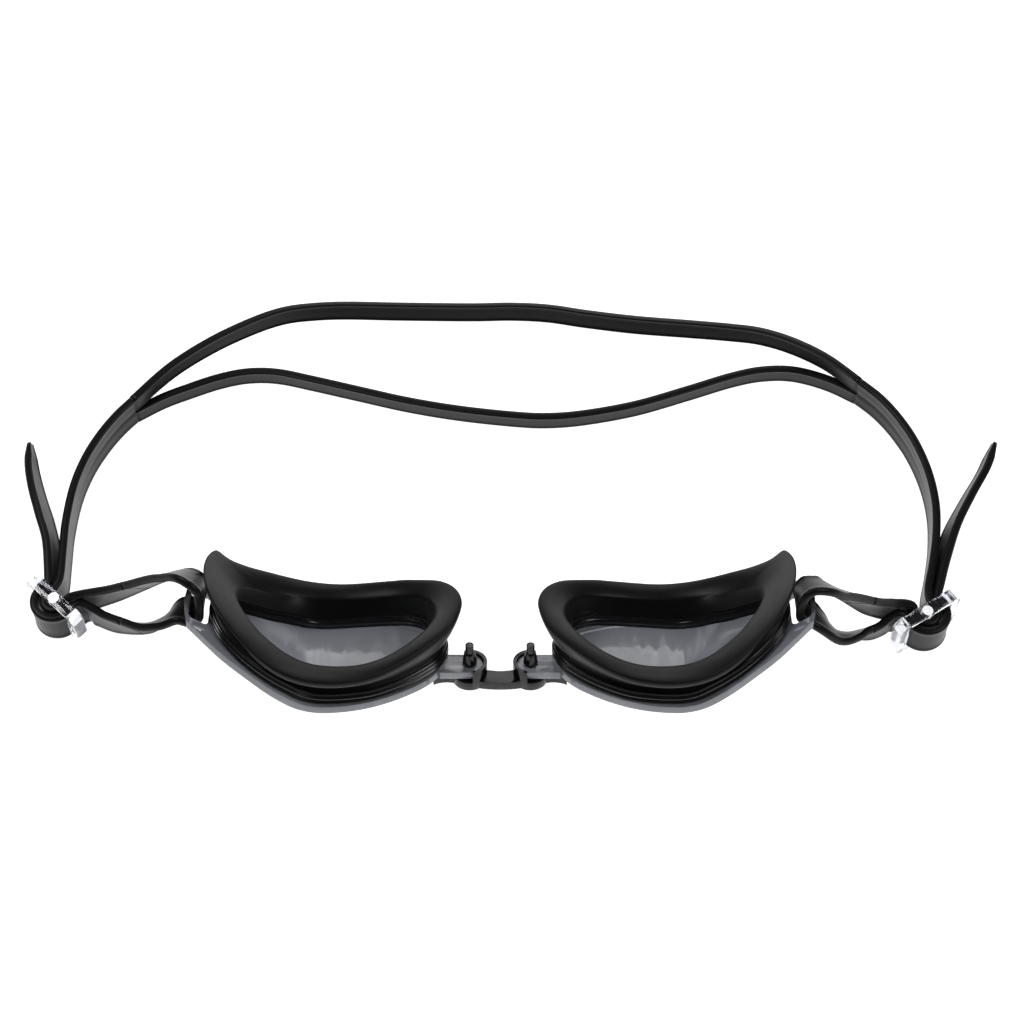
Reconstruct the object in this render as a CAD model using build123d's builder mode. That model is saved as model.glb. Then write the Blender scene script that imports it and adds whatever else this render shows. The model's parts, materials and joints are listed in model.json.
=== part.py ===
from build123d import *
import os
from math import cos, radians, sin, sqrt

# Swim goggles lying lens down, with the strap standing on its edge behind them.
# Millimetres. +Z up, +X to the right, +Y towards the back of the strap.
# The left side is the -X side. Every cup piece is drawn on a tilted plane
# at the middle of the left lens: x to the nose, y as worn, z to the face.

# cups
MID_X = -2.9                 # the plane half way between the two cups
CUP_OFFSET = 40.3            # from that plane to the middle of each cup
CUP_Y = -46.5                # the middle of the lens front
CUP_Z = 5.78
CUP_TILT = 20.0              # how far each cup leans towards the strap, degrees

# lens and arm
LENS_THICK = 2.0
LENS_HALF_HEIGHT = 16.95
LENS_NOSE_END = 27.6         # x of the lens's nose end
FRONT_RADIUS = 160.0         # the gentle curve of the lens front
BEND_RADIUS = 16.0           # the bend into the temple wing
BEND_START = -2.0            # x where that bend starts
WING_ANGLE = 35.0            # slope of the temple wing, degrees
ARM_END = -37.0              # x of the end of the arm
ARM_RAIL = 1.8               # the arm above and below the slot
BAR_WIDTH = 2.8              # the temple bar that the strap goes round
SLOT_ROOM = 2.3              # the slot's room beyond the strap's thickness
SLOT_CLEARANCE = 0.6         # at each edge of the strap

# nose lug and bridge
PEG_X = 32.9                 # the peg's place in the cup's own plane
PEG_Y = -4.0
PEG_RADIUS = 1.35
PEG_CLEARANCE = 0.07         # running fit of the peg in the lug
PEG_TOP = 10.5
LUG_RADIUS = 3.2
LUG_TOP = 4.3
LUG_THICK = 2.1
BRIDGE_GAP = 0.6             # between the bridge and the lugs
BRIDGE_THICK = 2.3
BRIDGE_WIDTH = 4.2           # at the middle
BRIDGE_SAG = 2.0             # how far the middle of the bridge bows
BRIDGE_ARM_END = 24.0
BRIDGE_ARM_Y = -5.6
BRIDGE_ARM_WIDTH = 1.6
COLLAR_GAP = 0.2             # between each lug's end and the collar round it
COLLAR_WALL = 0.85
COLLAR_TOP = 5.0

# ring and gasket
RING_HEIGHT = 3.0
RING_WALL = 2.4
BASE_HALF_HEIGHT = 15.6
BASE_NOSE = 27.0
BASE_TEMPLE = -28.9
LIP_HEIGHT = 11.0            # lowest height of the lip above the lens front
LIP_LOW_X = 1.0
LIP_TEMPLE_RADIUS = 38.0     # the lip's curve round the face
LIP_NOSE_RADIUS = 48.0
FLARE_HEIGHT = 30.0          # height over which the gasket's flare is drawn
GASKET_WALL = 2.2
GASKET_STEP = 1.6            # the gasket's foot stands in from the ring's edge
FLARE_NOSE = 6.0             # how far the wall leans out by that height
FLARE_TEMPLE = 1.6
FLARE_HALF = 8.0

# strap
STRAP_THICK = 2.1
STRAP_WIDTH = 10.0
BAND_WIDTH = 10.4
STRAND_WIDTH = 5.0
TAIL_TIP_WIDTH = 2.0
TAIL_ROLL = 18.0             # how far each loose tail tips outwards, degrees
LAYER_GAP = 0.3              # between two layers, and between strap and bars

# buckles
BUCKLE_Z = 6.6
BUCKLE_BAR_RADIUS = 1.3
BUCKLE_RAIL = 1.3
BUCKLE_END_BAR = 2.8
BUCKLE_CLEARANCE = 0.3       # at each edge of the strap
BUCKLE_THICK = 3.2
SLOT_MOUTH = 2.1             # how far behind the bars the strap starts to turn

# worked out from the sizes above
CUP_X = MID_X - CUP_OFFSET
FACE_WAY = (0, sin(radians(CUP_TILT)), cos(radians(CUP_TILT)))
cup_plane = Plane(origin=(CUP_X, CUP_Y, CUP_Z), x_dir=(1, 0, 0), z_dir=FACE_WAY)
profile_plane = Plane(origin=cup_plane.origin, x_dir=(1, 0, 0), z_dir=-cup_plane.y_dir)
mirror_plane = Plane(origin=(MID_X, 0, 0), z_dir=(1, 0, 0))
LAYER_STEP = STRAP_THICK + LAYER_GAP
INNER_LAYER = BUCKLE_BAR_RADIUS + LAYER_GAP + STRAP_THICK / 2
OUTER_LAYER = INNER_LAYER + LAYER_STEP
BUCKLE_SLOT_END = OUTER_LAYER + STRAP_THICK / 2 + LAYER_GAP
BUCKLE_HALF = BUCKLE_SLOT_END + BUCKLE_END_BAR
BUCKLE_INSIDE = STRAP_WIDTH / 2 + BUCKLE_CLEARANCE
RING_TOP = LENS_THICK + RING_HEIGHT
SLOT_WIDTH = STRAP_THICK + SLOT_ROOM
SLOT_HALF_HEIGHT = STRAP_WIDTH / 2 + SLOT_CLEARANCE
ARM_HALF_HEIGHT = SLOT_HALF_HEIGHT + ARM_RAIL


def lens_curve(depth):
    """Draw the lens's front profile, moved by depth towards the face."""
    bend = BEND_RADIUS - depth
    wing = radians(WING_ANGLE)
    turn_x = BEND_START - bend * sin(wing)
    turn_z = BEND_RADIUS - bend * cos(wing)
    far_x = ARM_END - 8
    far_z = turn_z + (turn_x - far_x) * sin(wing) / cos(wing)
    half_x = BEND_START - bend * sin(wing / 2)
    half_z = BEND_RADIUS - bend * cos(wing / 2)
    nose_x = LENS_NOSE_END + 14
    front = FRONT_RADIUS - depth

    def front_z(x):
        return FRONT_RADIUS - sqrt(front**2 - (x - BEND_START) ** 2)

    Line((far_x, far_z), (turn_x, turn_z))
    ThreePointArc((turn_x, turn_z), (half_x, half_z), (BEND_START, depth))
    ThreePointArc((BEND_START, depth), (nose_x / 2, front_z(nose_x / 2)), (nose_x, front_z(nose_x)))
    return (far_x, far_z), (nose_x, front_z(nose_x))


def lens_layer(low, high):
    """Sketch the layer between two depths behind the lens front."""
    with BuildSketch(profile_plane) as layer:
        with BuildLine():
            low_far, low_nose = lens_curve(low)
            high_far, high_nose = lens_curve(high)
            Line(low_far, high_far)
            Line(low_nose, high_nose)
        make_face()
    return layer.sketch


def outline(nose, temple, half, near_temple, near_nose):
    """Draw a closed cup outline from its four ends and two shoulder shares."""
    upper = [
        (nose, 0),
        (nose * 0.93, half * 0.36),
        (nose * 0.78, half * near_nose),
        (nose * 0.48, half * 0.87),
        (nose * 0.1, half),
        (temple * 0.28, half * 0.985),
        (temple * 0.55, half * 0.95),
        (temple * 0.8, half * near_temple),
        (temple * 0.96, half * 0.42),
        (temple, 0),
    ]
    lower = [(x, -y) for x, y in reversed(upper[1:-1])]
    Spline(*upper, *lower, periodic=True)


def outline_sketch(height, nose, temple, half, near_temple=0.77, near_nose=0.57):
    with BuildSketch(cup_plane.offset(height)) as sketch:
        with BuildLine():
            outline(nose, temple, half, near_temple, near_nose)
        make_face()
    return sketch.sketch


# ---- lens, with its wing, slot, temple bar and nose lug

with BuildPart() as lens_left:
    extrude(lens_layer(0, LENS_THICK), amount=3 * LENS_HALF_HEIGHT, both=True)
    with BuildSketch(cup_plane.offset(-5)):
        with BuildLine():
            near = [
                (LENS_NOSE_END, 0),
                (LENS_NOSE_END - 1.0, -4.6),
                (23.6, -8.6),
                (18.2, -12.0),
                (10.6, -15.0),
                (2.0, -LENS_HALF_HEIGHT + 0.3),
                (-7.5, -LENS_HALF_HEIGHT),
                (-14.5, -LENS_HALF_HEIGHT + 0.4),
                (-21.0, -14.6),
                (-26.5, -12.4),
                (ARM_END + 6.0, -ARM_HALF_HEIGHT - 2.2),
                (ARM_END + 2.5, -ARM_HALF_HEIGHT),
            ]
            Spline(*near)
            Spline(*[(x, -y) for x, y in near])
            RadiusArc(near[-1], (near[-1][0], -near[-1][1]), 30)
        make_face()
    extrude(amount=50, mode=Mode.INTERSECT)
    with BuildSketch(cup_plane.offset(5)):
        bar_inner = ARM_END + BAR_WIDTH
        with Locations((bar_inner + SLOT_WIDTH / 2, 0)):
            RectangleRounded(SLOT_WIDTH, 2 * SLOT_HALF_HEIGHT, 1.2)
    extrude(amount=40, mode=Mode.SUBTRACT)
    with BuildSketch(cup_plane.offset(LUG_TOP - LUG_THICK)):
        with Locations((PEG_X, PEG_Y)):
            Circle(LUG_RADIUS)
        with Locations(((PEG_X + LENS_NOSE_END - 2) / 2, PEG_Y)):
            Rectangle(PEG_X - LENS_NOSE_END + 2, 2 * LUG_RADIUS)
    extrude(amount=LUG_THICK)
    with BuildSketch(cup_plane):
        with Locations((PEG_X, PEG_Y)):
            Circle(PEG_RADIUS + PEG_CLEARANCE)
    extrude(amount=PEG_TOP, mode=Mode.SUBTRACT)


# ---- ring that carries the gasket, seated on the back of the lens

with BuildPart() as ring_left:
    outside = outline_sketch(0, BASE_NOSE, BASE_TEMPLE, BASE_HALF_HEIGHT)
    inside = outline_sketch(
        0, BASE_NOSE - RING_WALL, BASE_TEMPLE + RING_WALL, BASE_HALF_HEIGHT - RING_WALL
    )
    extrude(outside, amount=FLARE_HEIGHT)
    extrude(inside, amount=FLARE_HEIGHT, mode=Mode.SUBTRACT)
    layer = lens_layer(LENS_THICK, RING_TOP)
    extrude(layer, amount=2 * BASE_HALF_HEIGHT, both=True, mode=Mode.INTERSECT)


# ---- gasket: a flared wall from the ring to the lip, cut to the curve of the face

with BuildPart() as gasket_left:
    for wall, mode in ((0, Mode.ADD), (GASKET_WALL, Mode.SUBTRACT)):
        foot = outline_sketch(
            0,
            BASE_NOSE - GASKET_STEP - wall,
            BASE_TEMPLE + GASKET_STEP + wall,
            BASE_HALF_HEIGHT - GASKET_STEP - wall,
        )
        top = outline_sketch(
            FLARE_HEIGHT,
            BASE_NOSE + FLARE_NOSE - wall,
            BASE_TEMPLE - FLARE_TEMPLE + wall,
            BASE_HALF_HEIGHT + FLARE_HALF - wall,
            0.62,
        )
        loft([foot, top], mode=mode)
    with BuildSketch(profile_plane):
        with BuildLine():
            far, nose = lens_curve(RING_TOP)
            low = (LIP_LOW_X, LIP_HEIGHT)

            def lip_z(x):
                radius = LIP_TEMPLE_RADIUS if x < LIP_LOW_X else LIP_NOSE_RADIUS
                return LIP_HEIGHT + radius - sqrt(radius**2 - (x - LIP_LOW_X) ** 2)

            temple_x = BASE_TEMPLE - 5
            nose_x = BASE_NOSE + 9
            temple_half = (temple_x + LIP_LOW_X) / 2
            nose_half = (nose_x + LIP_LOW_X) / 2
            temple_top = (temple_x, lip_z(temple_x))
            nose_top = (nose_x, lip_z(nose_x))
            ThreePointArc(temple_top, (temple_half, lip_z(temple_half)), low)
            ThreePointArc(low, (nose_half, lip_z(nose_half)), nose_top)
            Line(far, temple_top)
            Line(nose, nose_top)
        make_face()
    extrude(amount=60, both=True, mode=Mode.INTERSECT)


# ---- nose bridge, with a snap peg for each lug

with BuildPart() as nose_bridge:
    top = LUG_TOP - LUG_THICK - BRIDGE_GAP
    middle = CUP_OFFSET
    collar = LUG_RADIUS + COLLAR_GAP + COLLAR_WALL
    near_middle = BRIDGE_ARM_Y - BRIDGE_SAG - 0.4
    near = [
        (BRIDGE_ARM_END, BRIDGE_ARM_Y - BRIDGE_ARM_WIDTH / 2),
        (PEG_X - 5.2, BRIDGE_ARM_Y + 0.1),
        (PEG_X - 2.2, BRIDGE_ARM_Y - 0.5),
        (PEG_X + 2.7, near_middle + 0.4),
        (middle, near_middle),
    ]
    far = [
        (BRIDGE_ARM_END, BRIDGE_ARM_Y + BRIDGE_ARM_WIDTH / 2),
        (PEG_X, PEG_Y + 1.6),
        (middle, near_middle + BRIDGE_WIDTH),
    ]
    with BuildSketch(cup_plane.offset(top)):
        with BuildLine():
            for edge in (near, far):
                Spline(*edge, *[(2 * middle - x, y) for x, y in reversed(edge[:-1])])
            Line(near[0], far[0])
            Line((2 * middle - near[0][0], near[0][1]), (2 * middle - far[0][0], far[0][1]))
        make_face()
        for side in (-1, 1):
            with Locations((middle + side * (middle - PEG_X), PEG_Y)):
                Circle(collar)
    extrude(amount=-BRIDGE_THICK)
    for side in (-1, 1):
        peg_x = middle + side * (middle - PEG_X)
        with BuildSketch(cup_plane.offset(top)):
            with Locations((peg_x, PEG_Y)):
                Circle(collar)
                Circle(collar - COLLAR_WALL, mode=Mode.SUBTRACT)
            with Locations((peg_x + side * (collar - 0.8), PEG_Y)):
                Rectangle(2 * collar, 2 * collar, mode=Mode.SUBTRACT)
        extrude(amount=COLLAR_TOP - top)
    for side in (-1, 1):
        peg = (middle + side * (middle - PEG_X), PEG_Y)
        with BuildSketch(cup_plane.offset(top)):
            with Locations(peg):
                Circle(PEG_RADIUS)
        extrude(amount=PEG_TOP - 2.4 - top)
        barb = LUG_TOP + BRIDGE_GAP
        with BuildSketch(cup_plane.offset(barb)):
            with Locations(peg):
                Circle(PEG_RADIUS + 0.45)
        with BuildSketch(cup_plane.offset(PEG_TOP - 2.4)):
            with Locations(peg):
                Circle(PEG_RADIUS)
        loft()
        with BuildSketch(cup_plane.offset(PEG_TOP - 2.4)):
            with Locations(peg):
                Circle(1.0)
        extrude(amount=2.4)


# ---- strap

def station(point, way, lean=0, roll=0):
    """A plane across the strap: x through its thickness, y along its width."""
    run = way.normalized()
    width = Vector(sin(radians(roll)), -sin(radians(lean)), cos(radians(lean)))
    width = (width - run * width.dot(run)).normalized()
    return Plane(origin=point, x_dir=width.cross(run), z_dir=run)


def lay_band(stops, start_way=None, end_way=None):
    """Loft a flat band through stops of x, y, z, lean, width and roll."""
    last = len(stops) - 1
    sections = []
    for i, (x, y, z, lean, width, roll) in enumerate(stops):
        way = Vector(*stops[min(i + 1, last)][:3]) - Vector(*stops[max(i - 1, 0)][:3])
        if i == 0 and start_way:
            way = start_way
        if i == last and end_way:
            way = end_way
        with BuildSketch(station((x, y, z), way, lean, roll)) as section:
            Rectangle(STRAP_THICK, width)
        sections.append(section.sketch)
    loft(sections, ruled=True)


def on_cup(side, x, y, z):
    """A point given in the left cup's plane, mirrored for the right cup."""
    point = cup_plane.from_local_coords((x, y, z))
    return (point.X if side == "left" else 2 * MID_X - point.X, point.Y, point.Z)


# where each loop goes round the temple bar: x from the bar, y, z in the cup's plane, lean
BAR_X = ARM_END + BAR_WIDTH / 2
half_strap = STRAP_THICK / 2
turns = {
    "left": [(2.1, 1.3, 25.9 + half_strap, 46), (2.8 + half_strap, 0.9, 24.9, 58), (3.0 + half_strap, 0.0, 21.5, 70),
             (2.5 + half_strap, 0.0, 19.1, 70), (1.5, 0.0, 18.9 - half_strap, 70)],
    "right": [(1.8, 0.2, 24.8 + half_strap, 50), (2.5 + half_strap, 0.0, 23.6, 60), (3.0 + half_strap, 0.0, 21.3, 70),
              (2.5 + half_strap, 0.0, 19.1, 70), (1.5, 0.0, 18.9 - half_strap, 70)],
}

# each side in plan: the buckle, the band from the split to the buckle, the loop, the tail
sides = {
    "left": {
        "centre": (-113.2, -31.2),
        "along": (0.72, -0.694),
        "across": (-0.694, -0.72),
        "band": [(-98.5, 28.3), (-102.3, 23.6), (-106.0, 17.6), (-109.2, 10.4), (-111.4, 2.0),
                 (-112.4, -8.0), (-112.4, -17.0), (-112.4, -24.6)],
        "rear": [(-107.6, -30.2, 7.9, 5), (-98.3, -30.5, 13.5, 15), (-92.5, -30.9, 17.9, 21),
                 (-87.1, -31.6, 22.6, 26), (-83.0, -32.6, 26.2, 31), (-79.5, -34.0, 29.1, 38)],
        "front": [(-80.4, -40.1, 22.2, 60), (-84.6, -41.2, 19.2, 38), (-90.1, -40.8, 15.4, 22),
                  (-98.1, -37.2, 10.6, 11), (-103.9, -33.5, 8.2, 5), (-106.2, -32.3, 7.2, 3)],
        "tail": [(-114.9, -24.2, 6.8), (-116.0, -14.0, 7.2), (-118.4, -6.0, 7.6),
                 (-121.0, 1.5, 8.0), (-122.9, 8.5, 8.3), (-124.0, 15.6, 8.6)],
    },
    "right": {
        "centre": (102.3, -34.8),
        "along": (-0.84, -0.543),
        "across": (0.543, -0.84),
        "band": [(90.6, 34.0), (95.6, 29.0), (99.9, 22.8), (103.6, 15.2), (106.2, 6.2),
                 (107.2, -3.0), (106.6, -12.0), (105.0, -20.5), (103.3, -27.6)],
        "rear": [(97.4, -32.6, 7.6, 4), (92.0, -33.3, 10.8, 9), (88.0, -34.1, 14.3, 15),
                 (82.6, -35.0, 20.0, 24), (78.4, -36.0, 24.8, 32), (74.8, -37.0, 29.0, 42)],
        "front": [(75.0, -42.1, 20.2, 58), (78.6, -43.0, 16.2, 42), (82.0, -42.1, 13.4, 32),
                  (85.4, -40.3, 11.2, 24), (89.6, -38.3, 9.0, 12), (94.4, -35.1, 7.3, 3)],
        "tail": [(106.2, -25.6, 6.8), (108.0, -18.5, 7.1), (111.0, -9.5, 7.5),
                 (115.8, -0.5, 8.0), (120.7, 7.8, 8.4), (124.1, 15.6, 8.8)],
    },
}

rear_strand = [(-89.6, 38.6, 7.6, -5), (-79.6, 47.0, 7.0, -9), (-69.4, 53.6, 6.2, -13),
               (-61.0, 57.6, 5.5, -17), (-52.8, 59.4, 4.8, -21), (-44.0, 60.2, 4.2, -23),
               (-30.0, 60.3, 3.6, -24), (-11.0, 60.2, 3.4, -24), (0.0, 60.4, 3.4, -24),
               (9.8, 59.8, 3.4, -24), (20.0, 58.0, 3.4, -24), (33.0, 56.0, 3.6, -24),
               (46.6, 54.3, 4.2, -22), (58.0, 52.6, 5.0, -18), (66.0, 50.8, 5.8, -14),
               (74.2, 47.2, 6.6, -10), (82.6, 41.6, 7.4, -5)]
front_strand = [(-91.6, 32.6), (-85.0, 35.6), (-77.5, 38.6), (-70.0, 40.4), (-62.0, 40.3),
                (-52.3, 38.0), (-40.3, 34.8), (-27.3, 31.4), (-14.0, 28.8), (0.0, 27.0),
                (9.0, 26.5), (18.9, 27.4), (32.5, 30.3), (46.4, 35.0), (57.6, 39.0),
                (66.0, 41.0), (74.4, 41.0), (83.2, 38.2)]


def in_slot(side, along, across):
    """A point of the strap at the buckle, in the buckle's own directions."""
    x, y = side["centre"]
    x += along * side["along"][0] + across * side["across"][0]
    y += along * side["along"][1] + across * side["across"][1]
    return (x, y, BUCKLE_Z)


def round_middle_bar(side, radius, way):
    """From one slot's inner mouth, round the middle bar, to the other's."""
    points = [in_slot(side, way * radius, -SLOT_MOUTH)]
    for k in range(9):
        angle = radians(180 * k / 8)
        points.append(in_slot(side, way * radius * cos(angle), radius * sin(angle)))
    return points + [in_slot(side, -way * radius, -SLOT_MOUTH)]


def side_band(name):
    """The whole length on one side, from the split to the tip of the tail."""
    side = sides[name]
    stops = []
    share_step = 1 / (len(side["band"]) - 1)
    for i, (x, y) in enumerate(side["band"]):
        share = i * share_step
        height = BAND_WIDTH / 2 + share * (BUCKLE_Z - BAND_WIDTH / 2)
        stops.append((x, y, height, 0, BAND_WIDTH + share * (STRAP_WIDTH - BAND_WIDTH), 0))
    bar_turn = [(*on_cup(name, BAR_X + x, y, z), lean) for x, y, z, lean in turns[name]]
    inner = [(*point, 0) for point in round_middle_bar(side, INNER_LAYER, -1)]
    outer = [(*point, 0) for point in round_middle_bar(side, OUTER_LAYER, 1)]
    for stop in inner + side["rear"] + bar_turn + side["front"] + outer:
        stops.append((*stop, STRAP_WIDTH, 0))
    for i, (x, y, z) in enumerate(side["tail"]):
        share = (i + 1) / len(side["tail"])
        width = STRAP_WIDTH - share**3 * (STRAP_WIDTH - TAIL_TIP_WIDTH)
        roll = min(1, 2 * share) * (-TAIL_ROLL if name == "left" else TAIL_ROLL)
        stops.append((x, y, z, 0, width, roll))
    return stops


def strand(route, height):
    """A strand from the end of the left band to the end of the right band."""
    stops = [(*sides["left"]["band"][0], height, 0)]
    stops += [stop if len(stop) > 2 else (*stop, height, 0) for stop in route]
    stops += [(*sides["right"]["band"][0], height, 0)]
    return [(*stop, STRAND_WIDTH, 0) for stop in stops]


with BuildPart() as strap:
    ways = {}
    for name in sides:
        stops = side_band(name)
        way = Vector(*stops[1][:2]) - Vector(*stops[0][:2])
        ways[name] = way
        lay_band(stops, start_way=way)
    for route, height in ((rear_strand, BAND_WIDTH - STRAND_WIDTH / 2), (front_strand, STRAND_WIDTH / 2)):
        lay_band(strand(route, height), start_way=-ways["left"], end_way=ways["right"])


# ---- buckles: two side rails, two end bars and a round middle bar

buckles = {}
for name, side in sides.items():
    flat = Plane(
        origin=(*side["centre"], BUCKLE_Z),
        x_dir=(*side["along"], 0),
        z_dir=(*side["across"], 0),
    )
    half_wide = BUCKLE_INSIDE + BUCKLE_RAIL
    slot = BUCKLE_SLOT_END
    with BuildPart() as buckle:
        with BuildSketch(flat.offset(-BUCKLE_THICK / 2)):
            RectangleRounded(2 * BUCKLE_HALF, 2 * half_wide, 2.6)
            RectangleRounded(2 * slot, 2 * BUCKLE_INSIDE, 0.6, mode=Mode.SUBTRACT)
        extrude(amount=BUCKLE_THICK)
        bar_start = Plane(
            origin=(*side["centre"], BUCKLE_Z - BUCKLE_INSIDE - BUCKLE_RAIL / 2),
            x_dir=(1, 0, 0),
            z_dir=(0, 0, 1),
        )
        with BuildSketch(bar_start):
            Circle(BUCKLE_BAR_RADIUS)
        extrude(amount=2 * BUCKLE_INSIDE + BUCKLE_RAIL)
    buckles[name] = buckle


# ---- write each piece, and mirror the cup for the right side

pieces = {
    "nose_bridge": nose_bridge.part,
    "strap": strap.part,
    "buckle_left": buckles["left"].part,
    "buckle_right": buckles["right"].part,
}
for name, cup_piece in (("lens", lens_left), ("ring", ring_left), ("gasket", gasket_left)):
    pieces[f"{name}_left"] = cup_piece.part
    pieces[f"{name}_right"] = mirror(cup_piece.part, about=mirror_plane)

os.makedirs("parts", exist_ok=True)
for name, piece in pieces.items():
    piece.label = name
    export_step(piece, f"parts/{name}.step")
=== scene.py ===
import bpy
import bmesh
import json
import math
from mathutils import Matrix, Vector


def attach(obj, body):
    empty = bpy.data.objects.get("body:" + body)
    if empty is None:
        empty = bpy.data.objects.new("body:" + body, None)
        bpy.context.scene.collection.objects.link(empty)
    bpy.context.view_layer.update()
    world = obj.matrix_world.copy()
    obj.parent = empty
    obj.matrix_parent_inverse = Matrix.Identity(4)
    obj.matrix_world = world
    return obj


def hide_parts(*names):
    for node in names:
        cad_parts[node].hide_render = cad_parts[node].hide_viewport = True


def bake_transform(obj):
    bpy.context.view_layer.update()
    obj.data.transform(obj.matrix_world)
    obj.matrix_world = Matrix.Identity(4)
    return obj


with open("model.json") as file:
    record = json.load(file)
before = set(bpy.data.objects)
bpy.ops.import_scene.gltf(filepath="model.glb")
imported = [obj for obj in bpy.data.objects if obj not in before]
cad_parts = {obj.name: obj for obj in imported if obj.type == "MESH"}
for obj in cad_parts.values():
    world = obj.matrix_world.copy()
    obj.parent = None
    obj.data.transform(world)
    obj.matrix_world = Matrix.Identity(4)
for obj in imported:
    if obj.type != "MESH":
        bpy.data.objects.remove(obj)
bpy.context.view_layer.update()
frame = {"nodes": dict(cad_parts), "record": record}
mm = 0.001
joints = {joint["name"]: joint for joint in frame["record"]["behaviour"]["joints"]}
print("frame loaded:", len(frame["nodes"]), "nodes")


# camera, lights and floor

view = {"distance": 635, "tilt": 60, "lens": 88, "target": (0, -4.3, 8)}
target = Vector(view["target"]) * mm
tilt = math.radians(view["tilt"])
toCamera = Vector((0, -math.cos(tilt), math.sin(tilt)))
cameraData = bpy.data.cameras.new("camera")
cameraData.lens = view["lens"]
cameraData.clip_start = 0.01
camera = bpy.data.objects.new("camera", cameraData)
camera.location = target + toCamera * view["distance"] * mm
camera.rotation_euler = (math.pi / 2 - tilt, 0, 0)
bpy.context.collection.objects.link(camera)
bpy.context.scene.camera = camera
bpy.context.scene.view_settings.view_transform = "Standard"


def linear(hexColour, alpha=1.0):
    # sRGB hex to the linear colour that a shader wants
    values = [int(hexColour[i:i + 2], 16) / 255 for i in (1, 3, 5)]
    return tuple(v / 12.92 if v < 0.04045 else ((v + 0.055) / 1.055) ** 2.4 for v in values) + (alpha,)


def addNode(tree, kind, settings=None, inputs=None):
    # one node with its settings; an input is a value or a socket to link from
    node = tree.nodes.new(kind)
    for key, value in (settings or {}).items():
        setattr(node, key, value)
    for key, value in (inputs or {}).items():
        if isinstance(value, bpy.types.NodeSocket):
            tree.links.new(value, node.inputs[key])
        else:
            node.inputs[key].default_value = value
    return node


lights = {
    "key": {"at": (-0.45, 0.15, 0.8), "size": 0.3, "power": 2.4},
    "fill": {"at": (0.55, -0.15, 0.75), "size": 0.3, "power": 1.8},
    "back": {"at": (0.1, 0.75, 0.4), "size": 0.5, "power": 1.6},
}
for name, light in lights.items():
    data = bpy.data.lights.new(name, "AREA")
    data.size = light["size"]
    data.energy = light["power"]
    lamp = bpy.data.objects.new(name, data)
    lamp.location = light["at"]
    lamp.rotation_euler = (-Vector(light["at"])).to_track_quat("-Z", "Y").to_euler()
    bpy.context.collection.objects.link(lamp)

world = bpy.data.worlds.new("studio")
world.use_nodes = True
world.node_tree.nodes["Background"].inputs["Color"].default_value = linear("#ffffff")
world.node_tree.nodes["Background"].inputs["Strength"].default_value = 0.1
bpy.context.scene.world = world

floorMesh = bmesh.new()
bmesh.ops.create_grid(floorMesh, x_segments=1, y_segments=1, size=3)
floorData = bpy.data.meshes.new("floor")
floorMesh.to_mesh(floorData)
floorMesh.free()
floor = bpy.data.objects.new("floor", floorData)
bpy.context.collection.objects.link(floor)
floorPaint = bpy.data.materials.new("white paper sweep")
floorPaint.use_nodes = True
floorShader = floorPaint.node_tree.nodes["Principled BSDF"]
floorShader.inputs["Base Color"].default_value = linear("#fafafa")
floorShader.inputs["Roughness"].default_value = 0.9
floorShader.inputs["Specular IOR Level"].default_value = 0.1
floorShader.inputs["Emission Color"].default_value = linear("#ffffff")
floorShader.inputs["Emission Strength"].default_value = 0.95
floorData.materials.append(floorPaint)
print("stage ready")


# materials

def siliconeRubber(name, colour, worn, roughness, grain, dust):
    # moulded silicone: satin, slightly uneven, with fine dust that clings to it
    paint = bpy.data.materials.new(name)
    paint.use_nodes = True
    tree = paint.node_tree
    shader = tree.nodes["Principled BSDF"]
    where = addNode(tree, "ShaderNodeTexCoord").outputs["Object"]
    cloud = addNode(tree, "ShaderNodeTexNoise", None, {"Vector": where, "Scale": 90.0, "Detail": 3.0})
    tone = addNode(tree, "ShaderNodeMix", {"data_type": "RGBA"}, {"Factor": cloud.outputs["Fac"]})
    tone.inputs[6].default_value = linear(colour)
    tone.inputs[7].default_value = linear(worn)
    speck = addNode(tree, "ShaderNodeTexVoronoi", None, {"Vector": where, "Scale": 1 / (dust * mm)})
    mark = addNode(tree, "ShaderNodeMapRange", None, {"Value": speck.outputs["Distance"]})
    mark.inputs["From Min"].default_value = 0.02
    mark.inputs["From Max"].default_value = 0.05
    mark.inputs["To Min"].default_value = 0.35
    mark.inputs["To Max"].default_value = 0.0
    dusty = addNode(tree, "ShaderNodeMix", {"data_type": "RGBA"}, {"Factor": mark.outputs["Result"]})
    tree.links.new(tone.outputs[2], dusty.inputs[6])
    dusty.inputs[7].default_value = linear("#3c3c3e")
    tree.links.new(dusty.outputs[2], shader.inputs["Base Color"])
    smear = addNode(tree, "ShaderNodeTexNoise", None, {"Vector": where, "Scale": 140.0, "Detail": 4.0})
    rough = addNode(tree, "ShaderNodeMapRange", None, {"Value": smear.outputs["Fac"]})
    rough.inputs["To Min"].default_value = roughness - 0.06
    rough.inputs["To Max"].default_value = roughness + 0.08
    tree.links.new(rough.outputs["Result"], shader.inputs["Roughness"])
    fine = addNode(tree, "ShaderNodeTexNoise", None, {"Vector": where, "Detail": 2.0})
    fine.inputs["Scale"].default_value = 1 / (grain * mm)
    bump = addNode(tree, "ShaderNodeBump", None, {"Height": fine.outputs["Fac"], "Strength": 0.12})
    bump.inputs["Distance"].default_value = 0.03 * mm
    tree.links.new(bump.outputs["Normal"], shader.inputs["Normal"])
    shader.inputs["IOR"].default_value = 1.38
    shader.inputs["Specular IOR Level"].default_value = 0.32
    shader.inputs["Sheen Weight"].default_value = 0.06
    return paint


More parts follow.
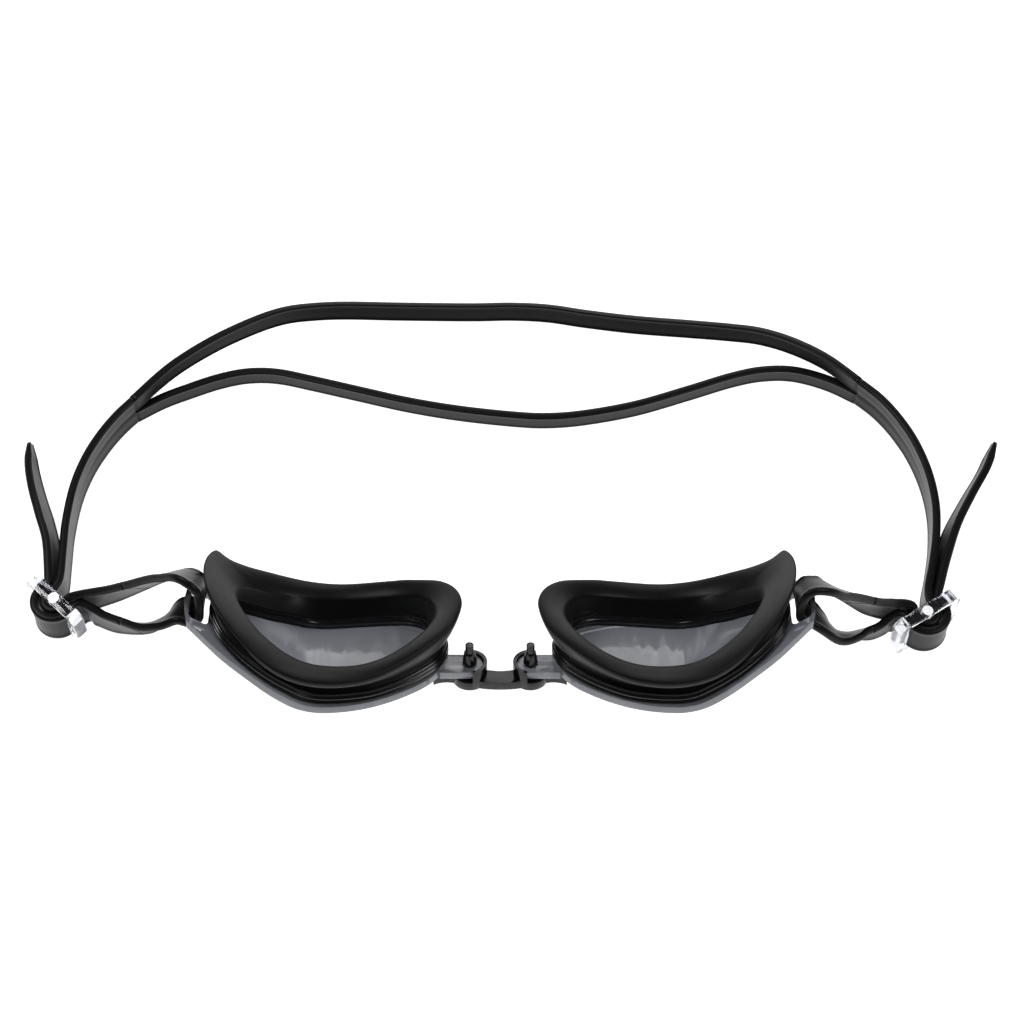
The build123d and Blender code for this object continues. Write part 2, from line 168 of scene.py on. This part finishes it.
def mouldedPlastic(name, colour, roughness, grain):
    # injection moulded, semi-gloss: faint flow marks and a fine eggshell
    paint = bpy.data.materials.new(name)
    paint.use_nodes = True
    tree = paint.node_tree
    shader = tree.nodes["Principled BSDF"]
    where = addNode(tree, "ShaderNodeTexCoord").outputs["Object"]
    flow = addNode(tree, "ShaderNodeTexNoise", None, {"Vector": where, "Scale": 160.0, "Detail": 3.0})
    tone = addNode(tree, "ShaderNodeMix", {"data_type": "RGBA"}, {"Factor": flow.outputs["Fac"]})
    tone.inputs[6].default_value = linear(colour)
    tone.inputs[7].default_value = linear("#0e0e10")
    tree.links.new(tone.outputs[2], shader.inputs["Base Color"])
    rough = addNode(tree, "ShaderNodeMapRange", None, {"Value": flow.outputs["Fac"]})
    rough.inputs["To Min"].default_value = roughness - 0.05
    rough.inputs["To Max"].default_value = roughness + 0.07
    tree.links.new(rough.outputs["Result"], shader.inputs["Roughness"])
    fine = addNode(tree, "ShaderNodeTexNoise", None, {"Vector": where, "Scale": 1 / (grain * mm)})
    bump = addNode(tree, "ShaderNodeBump", None, {"Height": fine.outputs["Fac"], "Strength": 0.08})
    bump.inputs["Distance"].default_value = 0.02 * mm
    tree.links.new(bump.outputs["Normal"], shader.inputs["Normal"])
    shader.inputs["IOR"].default_value = 1.5
    shader.inputs["Specular IOR Level"].default_value = 0.4
    return paint


def clearPlastic(name, colour, deep, roughness, tintScale):
    # polished polycarbonate: clear, with faint uneven tint and tiny scuffs
    paint = bpy.data.materials.new(name)
    paint.use_nodes = True
    tree = paint.node_tree
    shader = tree.nodes["Principled BSDF"]
    where = addNode(tree, "ShaderNodeTexCoord").outputs["Object"]
    cloud = addNode(tree, "ShaderNodeTexNoise", None, {"Vector": where, "Scale": tintScale, "Detail": 2.0})
    tone = addNode(tree, "ShaderNodeMix", {"data_type": "RGBA"}, {"Factor": cloud.outputs["Fac"]})
    tone.inputs[6].default_value = linear(colour)
    tone.inputs[7].default_value = linear(deep)
    tree.links.new(tone.outputs[2], shader.inputs["Base Color"])
    scuff = addNode(tree, "ShaderNodeTexNoise", None, {"Vector": where, "Scale": 700.0, "Detail": 5.0})
    rough = addNode(tree, "ShaderNodeMapRange", None, {"Value": scuff.outputs["Fac"]})
    rough.inputs["From Min"].default_value = 0.45
    rough.inputs["From Max"].default_value = 0.8
    rough.inputs["To Min"].default_value = roughness
    rough.inputs["To Max"].default_value = roughness + 0.08
    tree.links.new(rough.outputs["Result"], shader.inputs["Roughness"])
    shader.inputs["Transmission Weight"].default_value = 1.0
    shader.inputs["IOR"].default_value = 1.58
    return paint


def smokedSheet(name, tint, deep, paintedShadeZone, haze, paintedShadeOval):
    # smoke-tinted polycarbonate: light passes straight through, dimmed at each skin,
    # and dimmed more in an oval of painted shade near the front of each lens, standing in for the shadow and
    # dark reflection seen through it
    paint = bpy.data.materials.new(name)
    paint.use_nodes = True
    tree = paint.node_tree
    tree.nodes.remove(tree.nodes["Principled BSDF"])
    output = tree.nodes["Material Output"]
    where = addNode(tree, "ShaderNodeTexCoord").outputs["Object"]
    cloud = addNode(tree, "ShaderNodeTexNoise", None, {"Vector": where, "Scale": 28.0, "Detail": 1.0})
    tone = addNode(tree, "ShaderNodeMix", {"data_type": "RGBA"}, {"Factor": cloud.outputs["Fac"]})
    tone.inputs[6].default_value = linear(tint)
    tone.inputs[7].default_value = linear(deep)
    shadeMiddleX, shadeMiddleY, halfX, halfY = paintedShadeOval
    place = addNode(tree, "ShaderNodeMapping", None, {"Vector": where})
    place.inputs["Location"].default_value = [-shadeMiddleX / halfX, -shadeMiddleY / halfY, 0]
    place.inputs["Scale"].default_value = [1 / (halfX * mm), 1 / (halfY * mm), 0]
    fromShadeMiddle = {"Vector": place.outputs["Vector"]}
    reach = addNode(tree, "ShaderNodeVectorMath", {"operation": "LENGTH"}, fromShadeMiddle)
    inPaintedShade = addNode(tree, "ShaderNodeMapRange", None, {"Value": reach.outputs["Value"]})
    inPaintedShade.inputs["From Min"].default_value = 0.98
    inPaintedShade.inputs["From Max"].default_value = 1.02
    inPaintedShade.inputs["To Min"].default_value = 1.0
    inPaintedShade.inputs["To Max"].default_value = 0.0
    # painted shade: inside the oval, the light passing through the lens is dimmed to a darker, brownish tint
    withPaintedShade = addNode(tree, "ShaderNodeMix", {"data_type": "RGBA"}, {"Factor": inPaintedShade.outputs["Result"]})
    tree.links.new(tone.outputs[2], withPaintedShade.inputs[6])
    withPaintedShade.inputs[7].default_value = linear(paintedShadeZone)
    clear = addNode(tree, "ShaderNodeBsdfTransparent")
    tree.links.new(withPaintedShade.outputs[2], clear.inputs["Color"])
    body = addNode(tree, "ShaderNodeBsdfDiffuse")
    body.inputs["Color"].default_value = linear(haze)
    inside = addNode(tree, "ShaderNodeMixShader")
    inside.inputs["Fac"].default_value = 0.38
    tree.links.new(clear.outputs["BSDF"], inside.inputs[1])
    tree.links.new(body.outputs["BSDF"], inside.inputs[2])
    scuff = addNode(tree, "ShaderNodeTexNoise", None, {"Vector": where, "Scale": 600.0, "Detail": 4.0})
    rough = addNode(tree, "ShaderNodeMapRange", None, {"Value": scuff.outputs["Fac"]})
    rough.inputs["To Min"].default_value = 0.04
    rough.inputs["To Max"].default_value = 0.16
    skinShine = addNode(tree, "ShaderNodeBsdfGlossy", None, {"Roughness": rough.outputs["Result"]})
    edge = addNode(tree, "ShaderNodeFresnel")
    edge.inputs["IOR"].default_value = 1.58
    whole = addNode(tree, "ShaderNodeMixShader", None, {"Fac": edge.outputs["Fac"]})
    tree.links.new(inside.outputs["Shader"], whole.inputs[1])
    tree.links.new(skinShine.outputs["BSDF"], whole.inputs[2])
    tree.links.new(whole.outputs["Shader"], output.inputs["Surface"])
    return paint


gasketSilicone = siliconeRubber("black gasket silicone", "#050506", "#09090a", 0.4, 0.25, 2.4)
strapSilicone = siliconeRubber("black strap silicone", "#09090a", "#0f0f10", 0.36, 0.3, 3.0)
ringPlastic = mouldedPlastic("black ring TPE", "#060608", 0.22, 0.3)
bridgePlastic = mouldedPlastic("black bridge nylon", "#050506", 0.2, 0.3)
# the lens colours, one of them a darker painted shade; each oval of painted shade seen from above: its
# middle and its half sizes in mm
lensSmoke = {"tint": "#c0c2c7", "deep": "#b6b7bb", "paintedShadeZone": "#a09a96", "haze": "#d2d6df"}
paintedShadeOvals = {"left": (-33.0, -60.0, 24.0, 20.5), "right": (27.2, -60.0, 24.0, 20.5)}
lensPolycarbonate = {
    side: smokedSheet("smoked lens polycarbonate " + side, *lensSmoke.values(), paintedShadeZone)
    for side, paintedShadeZone in paintedShadeOvals.items()
}
bucklePolycarbonate = clearPlastic("clear buckle polycarbonate", "#f4f5fa", "#e9ebf4", 0.04, 200.0)
print("materials ready")


# tools

def linkPiece(name, work, material, body, nodes):
    data = bpy.data.meshes.new(name)
    work.to_mesh(data)
    work.free()
    piece = bpy.data.objects.new(name, data)
    bpy.context.collection.objects.link(piece)
    data.materials.append(material)
    if body:
        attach(piece, body)
    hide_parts(*nodes)
    return piece


def skin(along, round_, place, capped):
    # a grid wrapped into a tube or a ring; place turns its two shares into a point in mm
    work = bmesh.new()
    bmesh.ops.create_grid(work, x_segments=along, y_segments=round_, size=0.5)
    for corner in work.verts:
        corner.co = place(corner.co.x + 0.5, corner.co.y + 0.5) * mm
    bmesh.ops.remove_doubles(work, verts=work.verts, dist=0.002 * mm)
    for face in work.faces:
        face.smooth = True
    if capped:
        ends = [edge for edge in work.edges if edge.is_boundary]
        bmesh.ops.holes_fill(work, edges=ends, sides=0)
    bmesh.ops.recalc_face_normals(work, faces=work.faces)
    return work


def passThrough(stops, share, closed=False):
    # a smooth curve through the stops, each a tuple of numbers, at a share of its way
    count = len(stops)
    spans = count if closed else count - 1
    place = min(max(share, 0.0), 1.0) * spans
    first = min(int(place), spans - 1)
    t = place - first

    def stop(i):
        return stops[i % count] if closed else stops[min(max(i, 0), count - 1)]

    near = [stop(first + k) for k in (-1, 0, 1, 2)]
    weights = (
        -0.5 * t + t * t - 0.5 * t ** 3,
        1 - 2.5 * t * t + 1.5 * t ** 3,
        0.5 * t + 2 * t * t - 1.5 * t ** 3,
        -0.5 * t * t + 0.5 * t ** 3,
    )
    return [sum(w * s[k] for w, s in zip(weights, near)) for k in range(len(near[0]))]


# where the cups are: x to the nose, y as worn, z to the face

cup = {"pegX": 32.9, "pegY": -4.0, "pegZ": 3.0}
faceWay = Vector(joints["left_cup_pivot"]["axis"]).normalized()
wornWay = faceWay.cross(Vector((1, 0, 0)))
pegLeft = Vector(joints["left_cup_pivot"]["pos_m"]) / mm
pegRight = Vector(joints["right_cup_pivot"]["pos_m"]) / mm
middleX = (pegLeft.x + pegRight.x) / 2
cupCentre = pegLeft - Vector((cup["pegX"], 0, 0)) - wornWay * cup["pegY"] - faceWay * cup["pegZ"]


def onCup(x, y, z):
    return cupCentre + Vector((x, 0, 0)) + wornWay * y + faceWay * z


def mirrored(work):
    # the other cup's copy, turned the right way out again
    other = work.copy()
    for corner in other.verts:
        corner.co.x = 2 * middleX * mm - corner.co.x
    bmesh.ops.reverse_faces(other, faces=other.faces)
    return other


lens = {"front": 160.0, "bend": 16.0, "bendStart": -2.0, "wing": 35.0}


def lensHeight(x, depth):
    # height of the surface that lies depth behind the lens front, above the cup's plane
    wing = math.radians(lens["wing"])
    bend = lens["bend"] - depth
    turn = lens["bendStart"] - bend * math.sin(wing)
    if x > lens["bendStart"]:
        return lens["front"] - math.sqrt((lens["front"] - depth) ** 2 - (x - lens["bendStart"]) ** 2)
    if x > turn:
        return lens["bend"] - math.sqrt(bend ** 2 - (x - lens["bendStart"]) ** 2)
    return lens["bend"] - bend * math.cos(wing) + (turn - x) * math.tan(wing)


# gaskets and rings

gasket = {
    "lip": [(31.2, -1.0), (29.7, -6.2), (27.4, -8.8), (23.3, -11.0), (16.5, -14.3), (9.7, -16.8),
            (3.0, -17.8), (-3.0, -18.0), (-8.4, -17.6), (-13.0, -16.4), (-17.5, -14.2),
            (-22.0, -11.0), (-25.8, -7.6), (-28.6, -4.4), (-30.2, -1.0), (-30.7, 3.0),
            (-30.4, 7.0), (-29.6, 10.6), (-28.6, 13.0), (-27.4, 13.3), (-25.6, 13.7),
            (-22.8, 14.9), (-17.6, 16.8), (-12.5, 17.6), (-6.0, 17.8), (1.0, 17.8),
            (8.2, 17.8), (13.5, 17.2), (18.0, 16.0), (24.2, 12.6), (27.8, 8.8), (30.2, 4.2)],
    "opening": [(24.7, 1.0), (22.6, -2.8), (19.9, -4.9), (16.3, -7.3), (11.7, -9.4), (7.0, -10.6),
                (2.5, -10.9), (-3.5, -10.7), (-6.7, -10.2), (-10.9, -8.7), (-14.6, -6.5),
                (-18.4, -3.6), (-21.8, 0.1), (-23.6, 3.6), (-23.6, 7.0), (-21.0, 9.6),
                (-15.8, 11.4), (-10.6, 12.4), (-5.4, 12.9), (-0.3, 13.0), (5.0, 12.9),
                (10.4, 12.6), (15.6, 11.6), (20.4, 9.4), (23.8, 5.6)],
    "eye": [(23.2, 1.5), (21.6, -3.0), (18.4, -6.2), (13.0, -9.4), (6.0, -11.4), (-3.0, -11.6),
            (-10.0, -10.0), (-16.0, -7.2), (-20.8, -3.6), (-23.4, 0.6), (-23.2, 3.6),
            (-19.6, 5.1), (-15.8, 6.3), (-12.3, 7.9), (-8.7, 9.3), (-5.1, 10.2), (1.0, 10.7),
            (5.8, 11.0), (13.0, 11.0), (17.8, 10.3), (21.4, 8.2), (23.0, 5.0)],
    "foot": [(27.2, 0), (25.4, -5.4), (22.0, -8.6), (16.2, -12.0), (9.3, -14.6), (2.4, -15.5),
             (-3.6, -15.6), (-9.0, -15.6), (-13.4, -15.4), (-17.8, -14.4), (-22.4, -12.2),
             (-26.4, -8.6), (-28.8, -3.6), (-29.0, 1.0), (-28.6, 5.0), (-26.4, 9.0),
             (-22.4, 12.4), (-17.8, 14.4), (-13.4, 15.4), (-9.0, 15.6), (-3.6, 15.6),
             (2.4, 15.5), (9.3, 14.6), (16.2, 12.2), (22.0, 8.8), (25.4, 5.4)],
    "lowX": 1.0, "lowHeight": 11.0, "templeRadius": 36.0, "noseRadius": 48.0,
    "around": 192, "across": 60, "eyeStop": 17,  # the section's stop on the eye's outline
}


def lipHeight(x):
    radius = gasket["templeRadius"] if x < gasket["lowX"] else gasket["noseRadius"]
    return gasket["lowHeight"] + radius - math.sqrt(max(radius ** 2 - (x - gasket["lowX"]) ** 2, 1.0))


def evenly(points, count=360, fine=1440):
    # the outline again, as points the same distance apart, from its nose end round
    dense = [Vector(passThrough(points, k / fine, True)) for k in range(fine)]
    lengths = [0.0]
    for a, b in zip(dense, dense[1:] + dense[:1]):
        lengths.append(lengths[-1] + (b - a).length)
    even, at = [], 0
    for k in range(count):
        while lengths[at + 1] < lengths[-1] * k / count:
            at += 1
        even.append(dense[at])
    return even


# in the order that the gasket's section passes them
evenOutlines = {key: [tuple(p) for p in evenly(gasket[key])] for key in ("foot", "lip", "opening", "eye")}

# the section of the gasket, from the ring's top outside, up over the lip and down inside:
# from the foot's outline (0) to the lip's (1), the opening's (2) and the eye's (3), then mm
# outwards, then height from the ring (0) to the lip (1), and mm added to that
gasketSection = [
    (0.0, -0.5, 0.0, 0.0), (0.0, -1.3, 0.0, 0.8), (0.05, -1.3, 0.1, 1.1), (0.2, -0.6, 0.22, 1.0),
    (0.55, -0.3, 0.5, 0.3), (0.86, -0.2, 0.8, -0.5), (0.97, -0.1, 1.0, -1.7), (1.0, 0.0, 1.0, -0.8),
    (1.0, -0.1, 1.0, -0.2), (1.08, 0.0, 1.0, 0.1), (1.3, 0.0, 1.0, 0.25), (1.6, 0.0, 1.0, 0.0),
    (1.88, 0.0, 1.0, -0.6), (2.06, 0.0, 0.93, -0.9), (2.25, 0.1, 0.72, -0.4), (2.6, 0.2, 0.4, 0.0),
    (2.92, 0.1, 0.08, 0.0), (3.0, 0.3, 0.0, 0.0), (1.5, 0.0, 0.0, -0.05), (0.5, -1.5, 0.0, -0.05),
]
ringTop = 5.0


def between(outlines, reach):
    first = min(int(reach), len(outlines) - 2)
    return outlines[first].lerp(outlines[first + 1], reach - first)


def gasketPoint(share, section):
    outlines = [Vector(passThrough(stops, share, True)) for stops in evenOutlines.values()]
    reach, step, height, extra = passThrough(gasketSection, section, True)
    # the underside runs straight back from the eye's outline to the foot's
    pastEye = section * len(gasketSection) - gasket["eyeStop"]
    if pastEye > 0:
        back = min(pastEye / (len(gasketSection) - gasket["eyeStop"]), 1.0)
        flat = outlines[3].lerp(outlines[0], back)
        step, height, extra = 0.3 - 0.8 * back, 0.0, -0.05 * math.sin(math.pi * back)
    else:
        flat = between(outlines, min(max(reach, 0.0), 3.0))
    flat = flat + flat.normalized() * step
    low = lensHeight(flat.x, ringTop)
    z = low + (lipHeight(flat.x) - low) * height + extra
    return onCup(flat.x, flat.y, z)


work = skin(gasket["around"], gasket["across"], gasketPoint, False)
twin = mirrored(work)
linkPiece("gasket_skirt_left", work, gasketSilicone, "cup_left", ["gasket_left"])
linkPiece("gasket_skirt_right", twin, gasketSilicone, "cup_right", ["gasket_right"])
print("gaskets ready")

# the ring's section: from the foot's outline (0) to the eye's (1), mm outwards, and mm
# behind the lens front; two ribs run round the outside and a step round the inside
ringSection = [
    (0.0, -0.1, 2.0), (0.0, 0.35, 2.25), (0.0, 0.5, 2.6), (0.0, 0.1, 2.95), (0.0, 0.1, 3.1),
    (0.0, 0.45, 3.4), (0.0, 0.45, 3.9), (0.0, 0.1, 4.2), (0.0, -0.1, 4.5), (0.0, 0.1, 4.8),
    (0.0, -0.3, 5.15), (0.3, 0.0, 5.1), (0.8, 0.0, 5.05), (1.0, 0.25, 5.0), (1.0, 0.3, 4.4),
    (1.0, -0.05, 4.15), (1.0, 0.0, 3.2), (1.0, 0.35, 2.9), (1.0, 0.35, 2.0), (0.5, 0.0, 2.0),
]


def ringPoint(share, section):
    foot = Vector(passThrough(evenOutlines["foot"], share, True))
    eye = Vector(passThrough(evenOutlines["eye"], share, True))
    reach, step, depth = passThrough(ringSection, section, True)
    flat = foot.lerp(eye, min(max(reach, 0.0), 1.0))
    flat = flat + flat.normalized() * step
    return onCup(flat.x, flat.y, lensHeight(flat.x, max(depth, 2.0)) + 0.02)


work = skin(gasket["around"], gasket["across"], ringPoint, False)
twin = mirrored(work)
linkPiece("gasket_ring_left", work, ringPlastic, "cup_left", ["ring_left"])
linkPiece("gasket_ring_right", twin, ringPlastic, "cup_right", ["ring_right"])
print("rings ready")


# lenses, bridge and buckles: the CAD pieces with their moulded edge radii

def softened(name, node, material, body, radius, segments):
    work = bmesh.new()
    work.from_mesh(frame["nodes"][node].data)
    bmesh.ops.remove_doubles(work, verts=work.verts, dist=0.001 * mm)
    bmesh.ops.dissolve_limit(work, angle_limit=math.radians(1), verts=work.verts, edges=work.edges)
    piece = linkPiece(name, work, material, None, [node])
    edge = piece.modifiers.new("moulded radius", "BEVEL")
    edge.width = radius * mm
    edge.segments = segments
    edge.limit_method = "ANGLE"
    edge.angle_limit = math.radians(40)
    edge.harden_normals = True
    for face in piece.data.polygons:
        face.use_smooth = True
    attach(piece, body)
    return piece


for side in ("left", "right"):
    softened("lens_shell_" + side, "lens_" + side, lensPolycarbonate[side],
             "cup_" + side, 0.35, 3)
    softened("buckle_frame_" + side, "buckle_" + side, bucklePolycarbonate,
             "buckle_" + side, 0.5, 3)
softened("bridge_bar", "nose_bridge", bridgePlastic, "bridge", 0.3, 3)
print("lenses, bridge and buckles ready")


# strap

strap = {"thick": 2.1, "width": 10.0, "bandWidth": 10.4, "strandWidth": 5.0, "tipWidth": 2.0, "tailRoll": 18,
         "middleBar": 1.3, "layerGap": 0.3, "buckleZ": 6.6, "slotMouth": 2.1, "barX": -35.6,
         "bandZ": 5.2, "groove": 0.22}
innerLayer = strap["middleBar"] + strap["layerGap"] + strap["thick"] / 2
outerLayer = innerLayer + strap["layerGap"] + strap["thick"]

# round the temple bar: mm from the bar, then y and z on the cup, then the lean in degrees
turns = {
    "left": [(2.1, 1.3, 26.95, 46), (3.85, 0.9, 24.9, 58), (4.05, 0.0, 21.5, 70),
             (3.55, 0.0, 19.1, 70), (1.5, 0.0, 17.85, 70)],
    "right": [(1.8, 0.2, 25.85, 50), (3.55, 0.0, 23.6, 60), (4.05, 0.0, 21.3, 70),
              (3.55, 0.0, 19.1, 70), (1.5, 0.0, 17.85, 70)],
}
# stops in mm: x, y, z and how far the band leans back from standing, in degrees
sides = {
    "left": {
        "centre": (-113.2, -31.2), "along": (0.72, -0.694), "across": (-0.694, -0.72),
        "cutX": -92.0, "holdX": -80.5, "bandEnd": 14.5,
        "band": [(-98.5, 28.3), (-102.3, 23.6), (-106.0, 17.6), (-109.2, 10.4), (-111.4, 2.0),
                 (-112.4, -8.0), (-112.4, -17.0), (-112.4, -24.6)],
        "rear": [(-107.6, -30.2, 7.9, 5), (-98.3, -30.5, 13.5, 15), (-92.5, -30.9, 17.9, 21),
                 (-87.1, -31.6, 22.6, 26), (-83.0, -32.6, 26.2, 31), (-79.5, -34.0, 29.1, 38)],
        "front": [(-80.4, -40.1, 22.2, 60), (-84.6, -41.2, 19.2, 38), (-90.1, -40.8, 15.4, 22),
                  (-98.1, -37.2, 10.6, 11), (-103.9, -33.5, 8.2, 5), (-106.2, -32.3, 7.2, 3)],
        "tail": [(-114.9, -24.2, 6.8), (-116.0, -14.0, 7.2), (-118.4, -6.0, 7.6),
                 (-121.0, 1.5, 8.0), (-122.9, 8.5, 8.3), (-124.0, 15.6, 8.6)],
    },
    "right": {
        "centre": (102.3, -34.8), "along": (-0.84, -0.543), "across": (0.543, -0.84),
        "cutX": 85.0, "holdX": 75.5, "bandEnd": 12.2,
        "band": [(90.6, 34.0), (95.6, 29.0), (99.9, 22.8), (103.6, 15.2), (106.2, 6.2),
                 (107.2, -3.0), (106.6, -12.0), (105.0, -20.5), (103.3, -27.6)],
        "rear": [(97.4, -32.6, 7.6, 4), (92.0, -33.3, 10.8, 9), (88.0, -34.1, 14.3, 15),
                 (82.6, -35.0, 20.0, 24), (78.4, -36.0, 24.8, 32), (74.8, -37.0, 29.0, 42)],
        "front": [(75.0, -42.1, 20.2, 58), (78.6, -43.0, 16.2, 42), (82.0, -42.1, 13.4, 32),
                  (85.4, -40.3, 11.2, 24), (89.6, -38.3, 9.0, 12), (94.4, -35.1, 7.3, 3)],
        "tail": [(106.2, -25.6, 6.8), (108.0, -18.5, 7.1), (111.0, -9.5, 7.5),
                 (115.8, -0.5, 8.0), (120.7, 7.8, 8.4), (124.1, 15.6, 8.8)],
    },
}
rearStrand = [(-89.6, 38.6, 7.6, -5), (-79.6, 47.0, 7.0, -9), (-69.4, 53.6, 6.2, -13),
              (-61.0, 57.6, 5.5, -17), (-52.8, 59.4, 4.8, -21), (-44.0, 60.2, 4.2, -23),
              (-30.0, 60.3, 3.6, -24), (-11.0, 60.2, 3.4, -24), (0.0, 60.4, 3.4, -24),
              (9.8, 59.8, 3.4, -24), (20.0, 58.0, 3.4, -24), (33.0, 56.0, 3.6, -24),
              (46.6, 54.3, 4.2, -22), (58.0, 52.6, 5.0, -18), (66.0, 50.8, 5.8, -14),
              (74.2, 47.2, 6.6, -10), (82.6, 41.6, 7.4, -5)]
frontStrand = [(-91.6, 32.6), (-85.0, 35.6), (-77.5, 38.6), (-70.0, 40.4), (-62.0, 40.3),
               (-52.3, 38.0), (-40.3, 34.8), (-27.3, 31.4), (-14.0, 28.8), (0.0, 27.0),
               (9.0, 26.5), (18.9, 27.4), (32.5, 30.3), (46.4, 35.0), (57.6, 39.0),
               (66.0, 41.0), (74.4, 41.0), (83.2, 38.2)]

# a quarter of the strap's section: share of the half width, and mm from the middle plane
quarter = [(1.0, 0.18), (0.985, 0.55), (0.95, 0.85), (0.9, 1.02), (0.84, 1.05), (0.78, 1.0),
           (0.72, 0.9), (0.64, 0.86), (0.4, 0.86), (0.1, 0.86), (0.03, 0.86)]
sectionPoints = quarter + [(-w, t) for w, t in reversed(quarter)]
sectionPoints += [(w, -t) for w, t in reversed(sectionPoints)]


def inSlot(side, along, across):
    x = side["centre"][0] + along * side["along"][0] + across * side["across"][0]
    y = side["centre"][1] + along * side["along"][1] + across * side["across"][1]
    return (x, y, strap["buckleZ"], 0, strap["width"], 0, 0)


def roundMiddleBar(side, radius, way):
    stops = [inSlot(side, way * radius, -strap["slotMouth"])]
    for k in range(9):
        angle = math.pi * k / 8
        stops.append(inSlot(side, way * radius * math.cos(angle), radius * math.sin(angle)))
    return stops + [inSlot(side, -way * radius, -strap["slotMouth"])]


def evenRoute(stops, step=0.8):
    # the route again, as stops the same distance apart
    dense = [passThrough(stops, k / (len(stops) * 24)) for k in range(len(stops) * 24 + 1)]
    lengths = [0.0]
    for a, b in zip(dense, dense[1:]):
        lengths.append(lengths[-1] + (Vector(b[:3]) - Vector(a[:3])).length)
    count = max(int(lengths[-1] / step), 4)
    even, at = [], 0
    for k in range(count + 1):
        want = lengths[-1] * k / count
        while at < len(dense) - 2 and lengths[at + 1] < want:
            at += 1
        share = (want - lengths[at]) / max(lengths[at + 1] - lengths[at], 1e-9)
        even.append([a + (b - a) * share for a, b in zip(dense[at], dense[at + 1])])
    return even


def sweepStrap(even, first, last):
    # the section carried along the even stops from first to last
    rounds = len(sectionPoints)

    def place(share, turnShare):
        i = first + round(share * (last - first))
        x, y, z, lean, width, groove, roll = even[i]
        way = Vector(even[min(i + 1, len(even) - 1)][:3]) - Vector(even[max(i - 1, 0)][:3])
        way.normalize()
        lean = math.radians(lean)
        across = Vector((math.sin(math.radians(roll)), -math.sin(lean), math.cos(lean)))
        across = (across - way * across.dot(way)).normalized()
        out = across.cross(way)
        w, t = sectionPoints[round(turnShare * rounds) % rounds]
        if abs(w) < 0.05:
            t = t - math.copysign(groove, t)
        w = w * width / 2
        t = t * min(1.0, width / 4)
        return Vector((x, y, z)) + across * w + out * t

    return skin(last - first, rounds, place, True)


for name, side in sides.items():
    sign = -1 if name == "left" else 1
    lead = []
    for i, (x, y) in enumerate(side["band"]):
        share = i / (len(side["band"]) - 1)
        z = strap["bandZ"] + share * (strap["buckleZ"] - strap["bandZ"])
        width = strap["bandWidth"] + share * (strap["width"] - strap["bandWidth"])
        lead.append((x, y, z, 0, width, strap["groove"] * max(0, 1 - share * 1.6), 0))
    barTurn = []
    for x, y, z, lean in turns[name]:
        point = onCup(strap["barX"] + x, y, z)
        barTurn.append((point.x if sign < 0 else 2 * middleX - point.x, point.y, point.z, lean))
    loop = [(*stop, strap["width"], 0, 0) for stop in side["rear"] + barTurn + side["front"]]
    tail = []
    for i, (x, y, z) in enumerate(side["tail"]):
        share = (i + 1) / len(side["tail"])
        width = strap["width"] - share ** 3 * (strap["width"] - strap["tipWidth"])
        tail.append((x, y, z, 0, width, 0, sign * min(1, 2 * share) * strap["tailRoll"]))
    inner = roundMiddleBar(side, innerLayer, -1)
    outer = roundMiddleBar(side, outerLayer, 1)
    even = evenRoute(lead + inner + loop + outer + tail)
    # three lengths, cut where the strap follows neither the buckle nor the cup
    cutX, holdX = side["cutX"], side["holdX"]
    crossings = [i for i in range(1, len(even)) if (even[i - 1][0] - cutX) * (even[i][0] - cutX) <= 0]
    crossings = [i for i in crossings if even[i][1] < -25]
    rearCut, frontCut = crossings[0], crossings[-1]
    middle = Vector((*side["centre"], strap["buckleZ"]))
    toCup = Vector((-sign, 0, 0))
    toBand = Vector((-sign, 1, 0)).normalized()
    hold = Vector((holdX, *middle[1:]))
    cut = Vector((cutX, *middle[1:]))
    lengths = (
        ("strap_band_", 0, rearCut, "buckle_", middle + toBand * 5, middle + toBand * side["bandEnd"]),
        ("strap_loop_", rearCut, frontCut, "cup_", hold, cut),
        ("strap_tail_", frontCut, len(even) - 1, "buckle_", middle + toCup * 8.5, cut),
    )
    for lengthName, first, last, body, start, end in lengths:
        work = sweepStrap(even, first, last)
        piece = linkPiece(lengthName + name, work, strapSilicone, None, ["strap"])
        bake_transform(piece)


def strand(route, height):
    ends = [(*sides[name]["band"][0], height, 0) for name in sides]
    middle = [stop if len(stop) > 2 else (*stop, height, 0) for stop in route]
    return evenRoute([(*stop, strap["strandWidth"], 0, 0) for stop in [ends[0]] + middle + [ends[1]]], 1.2)


for name, route, height in (
    ("strap_strand_rear", rearStrand, strap["bandWidth"] - strap["strandWidth"] / 2),
    ("strap_strand_front", frontStrand, strap["strandWidth"] / 2),
):
    even = strand(route, height)
    work = sweepStrap(even, 0, len(even) - 1)
    linkPiece(name, work, strapSilicone, "bridge", ["strap"])
print("strap ready")

bpy.context.view_layer.update()
